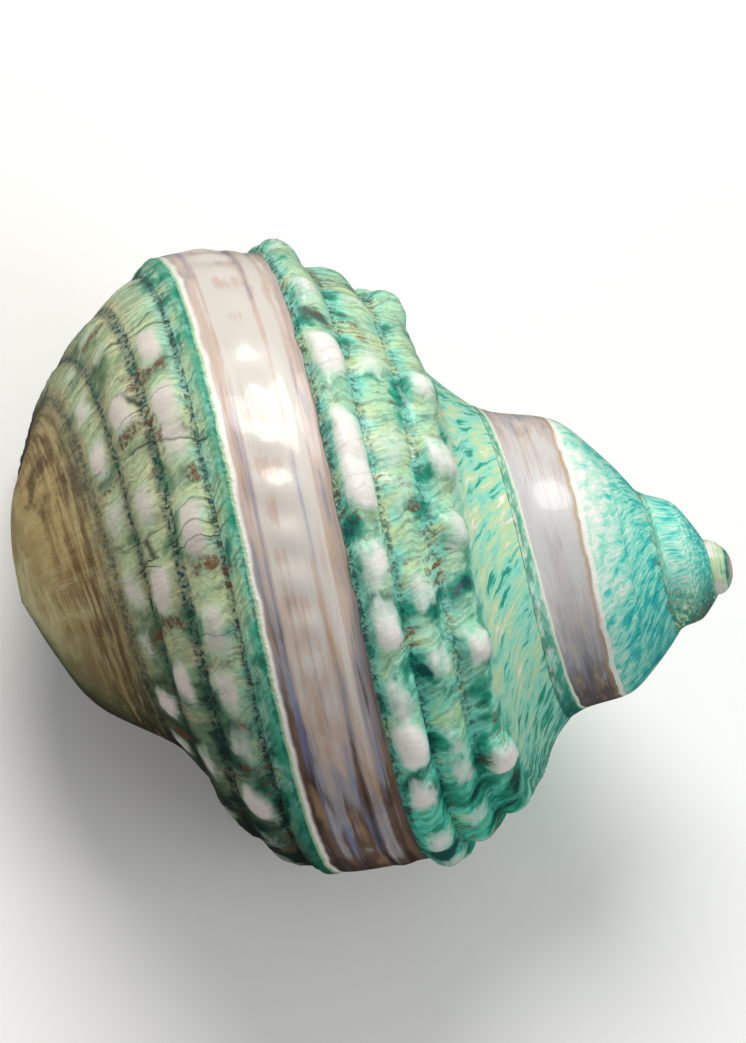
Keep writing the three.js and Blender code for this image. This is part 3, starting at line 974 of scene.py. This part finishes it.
def corded_colour(net, skin, green, tone):
    """Pale cord crests, stronger towards the light as painted highlight; painted shade and dark grains in the
    grooves; painted shade on the side away from the light.
    """
    tints, row = skin.tints, skin.row
    corded = net.times(net.between(row, 2.9, 10.2, 0.2), skin.last)
    # Pale lime on the cord crests: own colour, stronger on the side to the light as painted highlight
    crest = net.times(net.rise(skin.cord, 0.45, 0.95), net.rise(tone, 0.3, 0.6))
    green = net.paint(green, tints.lime, crest, net.add(0.2, net.rise(skin.sunny, 0.2, 0.9, 0.4)))
    # Painted shade in the grooves between the cords, deeper on the base, with dark grains
    groove = net.times(net.inverse(net.rise(skin.cord, 0.05, 0.5)), corded)
    speck = net.rise(skin.grains, 0.46, 0.62)
    groove_shade_and_grain = net.add(0.25, net.rise(row, 7.4, 8.4, 0.2), net.times(speck, 0.55))
    green = net.paint(green, tints.deep, groove, groove_shade_and_grain)
    green = net.paint(green, tints.deep, corded, speck, 0.16)
    fine = net.times(net.rise(skin.lines["Stroke"], 0.48, 0.6), net.between(row, 2.6, 10.0, 0.3), skin.last)
    green = net.paint(green, tints.deep, fine, net.add(0.12, net.times(skin.along, 0.4)))
    seam = net.inverse(net.rise(net.add(skin.cord, net.sway(skin.blots, 0.4)), 0.06, 0.2))
    first = net.add(0.3, net.times(net.between(row, 7.7, 8.0, 0.1), 0.7))
    green = net.paint(green, tints.crack, seam, net.between(row, 7.7, 10.3, 0.2),
                      net.rise(skin.along, 0.42, 0.62, 0.6), first)

    # Painted shade: the side away from the light is darkened with a teal tint, and with the shadow tint from
    # the band down
    shade_tint = net.mix(net.rise(row, 6.0, 8.0), tints.shade_tint, tints.shadow)
    side_shade = net.times(net.inverse(net.rise(skin.sunny, -0.5, 0.85)), skin.last, net.rise(row, 2.4, 3.6))
    return net.mix(net.times(side_shade, 0.95), green, shade_tint, "MULTIPLY"), groove, corded


def knobbed_colour(net, skin, green, corded):
    """Knobs with painted shade on the early side, a halo and a cream top; rust strokes and fine cracks."""
    tints, row, along, blots = skin.tints, skin.row, skin.along, skin.blots
    on_base = net.rise(row, 7.0, 8.0)
    # Painted shade beside the knobs on their early side, deeper on the shaded side and half as strong on the
    # base
    dark = net.add(skin.shade, net.sway(blots, 0.9), net.sway(along, 0.8), net.times(skin.low_side, 0.35))
    green = net.paint(green, tints.deep, net.rise(dark, 0.4, 0.9), net.inverse(net.times(on_base, 0.5)), 0.92)
    # On the base the map of the painted shade places real rust
    burnt = net.add(skin.shade, net.sway(along, 2.0), net.sway(blots, 1.2))
    green = net.paint(green, tints.rust, net.rise(burnt, 0.6, 0.9), net.between(row, 8.0, 9.5, 0.1),
                      net.rise(skin.grains, 0.4, 0.52), 0.8)
    ragged = net.add(skin.knob, net.sway(along, 1.0), net.sway(blots, 1.1))
    halo = net.times(net.rise(ragged, 0.2, 0.5, 0.55), net.inverse(net.times(on_base, 0.6)))
    green = net.paint(green, tints.foam, halo)
    # Cream tops, lilac on the base, greyed with lavender on the shaded side as painted shade
    top = net.mix(net.times(on_base, 0.8), tints.cream, tints.lilac)
    top = net.paint(top, tints.lavender, skin.low_side, 0.25)
    bare = net.rise(ragged, 0.34, 0.92)
    green = net.paint(green, top, bare, 0.96)

    cluster = net.field(skin.turn, row, 30.0, 1.2, 2.0, detail=3.0, rough=0.65)
    green = net.paint(green, tints.rust, net.rise(cluster, 0.53, 0.68),
                      net.rise(skin.lines["Stroke"], 0.44, 0.56), net.rise(skin.grains, 0.36, 0.5),
                      net.inverse(net.rise(ragged, 0.5, 0.65)), corded, 0.85)
    return net.paint(green, tints.crack, skin.lines["Crack"], net.inverse(net.times(bare, 0.4)), skin.last,
                     net.rise(row, 2.4, 3.0), 0.6)


def lined_colour(net, skin, green):
    """Brown lines in the crease, the suture, the strip beside it on the spire with painted shade on its
    shaded side, and the worn apex.
    """
    tints, row, along = skin.tints, skin.row, skin.along
    thread = net.field(skin.turn, row, 14.0, 16.0, 15.0, detail=3.0, rough=0.6)
    green = net.paint(green, tints.khaki, net.between(row, 10.2, 10.7, 0.15),
                      net.inverse(net.rise(thread, 0.38, 0.48)), 0.5)
    green = net.paint(green, tints.umber, net.between(row, 10.2, 10.6, 0.2), net.rise(thread, 0.42, 0.6), 0.7)
    stain = net.rise(net.add(thread, net.sway(skin.broad, 1.2)), 0.5, 0.66)
    green = net.paint(green, tints.rust, stain, net.between(row, 10.3, 11.0, 0.3),
                      net.rise(skin.lines["Brush"], 0.34, 0.56), 0.45)
    ragged_row = net.add(row, net.sway(skin.blots, 0.12))
    green = net.paint(green, tints.crack, net.inverse(net.rise(ragged_row, 0.01, 0.06)),
                      net.rise(row, -0.12, -0.06), net.add(0.35, net.rise(along, 0.35, 0.6, 0.5)))
    green = net.paint(green, tints.deep, net.between(ragged_row, 2.72, 2.78, 0.03), skin.spire,
                      net.rise(along, 0.35, 0.6), 0.5)
    green = net.paint(green, tints.rust, net.inverse(net.rise(ragged_row, 0.15, 0.5)),
                      net.rise(along, 0.5, 0.62), skin.spire, 0.55)
    strip = net.times(net.rise(row, 7.1, 7.4), skin.spire)
    patchy = net.rise(net.add(along, net.sway(skin.blots, 0.8)), 0.36, 0.66)
    green = net.paint(green, tints.jade, strip, patchy, 0.6)
    # Painted shade: the strip darkens on the shaded side
    green = net.paint(green, tints.deep, strip, skin.low_side, net.add(0.5, net.times(skin.blots, 0.5)))
    speckled = net.ramp(net.add(skin.blots, net.sway(along, 1.2)), (0.34, tints.rust), (0.44, tints.deep),
                        (0.54, tints.jade), (0.68, tints.lime), (0.84, tints.cream))
    green = net.paint(green, speckled, net.inverse(net.rise(skin.turn, -2.2, -1.9)), 0.8)
    worn = net.rise(net.less(net.sway(skin.blots, 0.4), row), 0.5, 0.75)
    return net.paint(green, tints.blush, worn, 0.9)


def banded_colour(net, skin, green, pearl):
    """The pearl band with its rims, which fades out on the early whorls; its tone carries painted light,
    shade and highlights.
    """
    tints, turn, row, spire, last = skin.tints, skin.turn, skin.row, skin.spire, skin.last
    wave = net.field(turn, row, 38.0, 0.0, 7.0)
    right = net.add(row, net.sway(wave, 0.3), net.times(last, 0.26))
    covered = net.times(net.rise(turn, -1.25, -0.75), net.inverse(net.rise(turn, -0.75, -0.35)))
    left = net.less(net.add(row, net.sway(wave, 0.2)), net.times(covered, 0.65))
    ground = net.rise(net.add(turn, net.times(skin.broad, 0.2)), -1.6, -1.45)

    def stripe(place, low, high, soft=0.03):
        return net.times(net.between(place, low, high, soft), ground)

    # Painted highlights on the lumps of the band: the tone is lighter in step with their relief
    drift = net.times(net.math("SINE", net.times(turn, 360 * LUMP_DRIFT)), LUMP_SWAY)
    lumps = net.math("SINE", net.add(net.times(turn, 360 * LUMP_RATE), drift))
    lumps = net.times(lumps, net.between(row, 6.36, 6.72, 0.08),
                      net.rise(turn, *(angle / 360 for angle in LUMPS_FADE)), net.rise(wave, 0.3, 0.6), 0.26)
    # Painted light on the nacre: light on the side to the light and brown away from it; on the spire darker
    # away from its painted highlight
    highlight_falloff = net.times(net.rise(net.math("ABSOLUTE", net.less(turn, SPIRE_PAINTED_HIGHLIGHT)), 0.06, 0.2), spire)
    tone = net.add(net.less(0.75, net.times(skin.sunny, 0.72)), net.times(highlight_falloff, 0.3))
    for share, low, high in BAND_STRIPES:
        tone = net.add(tone, net.times(net.between(row, low, high, 0.035), last, share))
    nacre = use_group(net, pearl, {"Turn": turn, "Row": row, "Tone": net.less(tone, lumps)})
    silvered = net.paint(nacre["Color"], tints.silver, spire, net.less(0.55, net.times(highlight_falloff, 0.4)))
    band = net.times(net.rise(right, 5.97, 6.02), stripe(left, 0.0, 7.0))

    rim = net.add(0.1, net.rise(skin.along, 0.3, 0.66, 0.6))
    surface = net.paint(green, tints.jade, stripe(left, 7.1, 7.5, 0.08), rim)
    # Painted shade beside the left rim on the side away from the light
    surface = net.paint(surface, tints.deep, stripe(left, 7.16, 7.6, 0.08), skin.low_side, 0.6)
    surface = net.paint(surface, tints.lime, stripe(left, 7.0, 7.13), 0.7)
    surface = net.paint(surface, silvered, band)
    # Taupe strip along the right edge: own colour, stronger on the shaded side as painted shade
    edge = net.add(0.3, net.times(skin.low_side, 0.5))
    surface = net.paint(surface, tints.taupe, stripe(right, 5.98, 6.23, 0.06), last, edge)
    surface = net.paint(surface, tints.cream, stripe(left, 6.97, 7.06), 0.9)
    surface = net.paint(surface, tints.amber, stripe(right, 5.98, 6.12, 0.07), spire, 0.7)
    pale_edge = stripe(net.add(right, net.sway(skin.blots, 0.4)), 5.6, 5.99, 0.06)
    return net.paint(surface, tints.cream, pale_edge, spire, 0.85), band, nacre


def outer_material(colours, pearl, growth):
    """Green outer layer with cream knobs, the pearl band, the khaki lobe and the worn apex, with painted
    light and shade.
    """
    material, net = new_material("polished_shell")
    skin = skin_values(net, colours, growth)
    green, tone = ground_colour(net, skin)
    green, groove, corded = corded_colour(net, skin, green, tone)
    green = knobbed_colour(net, skin, green, corded)
    green = lined_colour(net, skin, green)
    surface, band, nacre = banded_colour(net, skin, green, pearl)

    rough = net.add(0.3, net.times(skin.grains, 0.16))
    rough = net.math("MULTIPLY_ADD", band, net.less(nacre["Roughness"], rough), rough)
    grain = net.times(skin.grains, net.add(0.2, net.times(groove, 0.5)))
    height = net.times(net.add(net.times(skin.lines["Height"], 0.5), grain), net.inverse(band))
    height = net.add(height, net.times(band, nacre["Height"], 0.35))
    polish = net.less(0.4, net.times(skin.low_side, 0.25))
    finish_material(net, {"Base Color": surface, "Roughness": rough, "Metallic": net.times(band, 0.06),
                          "Normal": net.bump(height, 0.35 * MM), "Coat Weight": polish,
                          "Coat Roughness": 0.07, "Specular IOR Level": 0.3})
    return material


def mouth_material(colours, pearl, growth):
    """Nacre that lines the mouth."""
    material, net = new_material("mouth_pearl")
    turn, row = net.map(SPIRAL_MAP)
    depth = net.noise(net.object_place(), 40.0)
    nacre = use_group(net, pearl, {"Turn": turn, "Row": row, "Tone": net.times(depth, 0.5)})
    lines = use_group(net, growth, {"Growth": turn, "Row": row})
    shade = net.paint(nacre["Color"], colours.blush, net.rise(lines["Streak"], 0.55, 0.75, 0.3))
    height = net.add(nacre["Height"], net.times(lines["Height"], 0.5))
    finish_material(net, {"Base Color": shade, "Roughness": nacre["Roughness"], "Metallic": 0.1,
                          "Normal": net.bump(height, 0.2 * MM), "Coat Weight": 0.5, "Coat Roughness": 0.08})
    return material


def lip_material(colours):
    """Broken edge of the lip: pearl with pink and brown grains."""
    material, net = new_material("lip_edge")
    place = net.object_place()
    blots = net.noise(place, 260.0, 4.0, 0.6)
    grains = net.noise(place, 1200.0, 3.0)
    shade = net.mix(net.rise(blots, 0.4, 0.65), colours.pearl, colours.blush)
    shade = net.paint(shade, colours.taupe, net.rise(grains, 0.58, 0.75, 0.5))
    finish_material(net, {"Base Color": shade, "Roughness": net.add(0.35, net.times(grains, 0.2)),
                          "Normal": net.bump(blots, 0.3 * MM), "Coat Weight": 0.2})
    return material


def floor_material(stage):
    """Plain pale matt floor."""
    material, net = new_material("pale_floor")
    finish_material(net, {"Base Color": stage.floor, "Roughness": 0.6, "Emission Color": stage.floor,
                          "Emission Strength": stage.glow})
    return material


# Operators


class MESH_OT_turban_shell(Operator):
    """Build the shell: its whorls, knobs and pearl band, hollowed behind the mouth"""

    bl_idname = "mesh.turban_shell"
    bl_label = "Turban Shell"
    bl_options = {"REGISTER", "UNDO"}

    def execute(self, context):
        sizes = context.scene.shell_sizes
        colours = context.scene.shell_colours
        pearl = pearl_group(colours)
        growth = growth_group()
        outer = outer_material(colours, pearl, growth)
        mouth = mouth_material(colours, pearl, growth)
        lip = lip_material(colours)
        shell = linked("turban_shell", shell_mesh(sizes), outer, lip)
        hollow = linked("hollow", cavity_mesh(sizes.wall / MM), mouth)
        block = linked("floor_block", floor_block_mesh(), lip)
        cut_from(shell, [hollow, block])
        if len(shell.data.polygons) == 0:
            raise RuntimeError("the shell could not be hollowed")
        shell.data.shade_smooth()
        shell.data.set_sharp_from_angle(angle=SHARP_ANGLE)
        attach(shell, "root")
        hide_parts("shell")
        return {"FINISHED"}


def view_axes():
    """Right, up and towards the viewer in the picture, and the middle of the picture on the shell."""
    back, top, base = lying_axes().T
    right = -math.cos(VIEW_TILT) * base - math.sin(VIEW_TILT) * top
    up = -math.sin(VIEW_TILT) * base + math.cos(VIEW_TILT) * top
    return Vector(right), Vector(up), Vector(back), Vector(lying(np.array([VIEW_MIDDLE]))[0])


def soft_light(name, look, power):
    """Round area light that points at the middle of the picture."""
    right, up, back, middle = view_axes()
    lamp = bpy.data.lights.new(name, "AREA")
    lamp.shape = "DISK"
    lamp.size = look.size
    lamp.energy = power
    lamp.color = look.tone
    item = linked(name, lamp)
    direction = back * look.back + up * look.up + right * look.right
    item.location = middle + direction.normalized() * look.distance
    item.rotation_euler = (-direction).to_track_quat("-Z", "Y").to_euler()


def room_light(strength):
    """Even light all round, brighter from the top of the picture."""
    world = bpy.data.worlds.new("studio")
    world.use_nodes = True
    _, up, back, _ = view_axes()
    net = Net(world.node_tree)
    inputs = {0: net.node("ShaderNodeTexCoord").outputs["Generated"], 1: up * ROOM_UP + back * ROOM_BACK}
    facing = net.node("ShaderNodeVectorMath", inputs, operation="DOT_PRODUCT").outputs["Value"]
    background = world.node_tree.nodes["Background"]
    net.feed(background.inputs["Color"], net.ramp(facing, *ROOM_STOPS))
    net.feed(background.inputs["Strength"], strength)
    return world


def picture_camera(focal_length):
    """Camera that looks at the shell from the picture's side."""
    right, up, back, middle = view_axes()
    lens = bpy.data.cameras.new("camera")
    lens.lens = focal_length
    lens.sensor_width = SENSOR_WIDTH
    lens.clip_end = CLIP_END
    camera = linked("camera", lens)
    distance = PICTURE_ROWS * PIXEL * MM * lens.lens / lens.sensor_width
    turn = Matrix((right, up, back)).transposed()
    camera.matrix_world = Matrix.Translation(middle + back * distance) @ turn.to_4x4()
    return camera


class SCENE_OT_shell_stage(Operator):
    """Set the pale floor, the soft lights and the camera"""

    bl_idname = "scene.shell_stage"
    bl_label = "Shell Stage"
    bl_options = {"REGISTER", "UNDO"}

    def execute(self, context):
        scene = context.scene
        stage = scene.shell_stage
        corners = [(-1, -1), (1, -1), (1, 1), (-1, 1)]
        mesh = bpy.data.meshes.new("floor")
        mesh.from_pydata([(x * FLOOR_HALF, y * FLOOR_HALF, 0) for x, y in corners], [], [(0, 1, 2, 3)])
        floor = linked("floor", mesh, floor_material(stage))
        floor.visible_glossy = False
        soft_light("key_light", KEY_LIGHT, stage.key)
        soft_light("fill_light", FILL_LIGHT, stage.fill)
        scene.world = room_light(stage.sky)
        scene.camera = picture_camera(stage.lens)
        scene.view_settings.view_transform = "Standard"
        return {"FINISHED"}


class VIEW3D_PT_turban_shell(Panel):
    """Sizes and colours of the shell, and the buttons that build it"""

    bl_label = "Turban Shell"
    bl_space_type = "VIEW_3D"
    bl_region_type = "UI"
    bl_category = "Shell"

    def draw(self, context):
        for name in SETTINGS:
            group = getattr(context.scene, name)
            box = self.layout.box()
            for prop in group.bl_rna.properties:
                if prop.identifier not in ("rna_type", "name"):
                    box.prop(group, prop.identifier)
        self.layout.operator(MESH_OT_turban_shell.bl_idname)
        self.layout.operator(SCENE_OT_shell_stage.bl_idname)


SETTINGS = {"shell_sizes": ShellSizes, "shell_colours": ShellColours, "shell_stage": StageSettings}
CLASSES = (*SETTINGS.values(), MESH_OT_turban_shell, SCENE_OT_shell_stage, VIEW3D_PT_turban_shell)


def register():
    for each in CLASSES:
        bpy.utils.register_class(each)
    for name, kind in SETTINGS.items():
        setattr(bpy.types.Scene, name, PointerProperty(type=kind))


def unregister():
    for name in SETTINGS:
        delattr(bpy.types.Scene, name)
    for each in reversed(CLASSES):
        bpy.utils.unregister_class(each)


def main():
    register()
    bpy.ops.mesh.turban_shell()
    bpy.ops.scene.shell_stage()


if __name__ == "__main__":
    main()
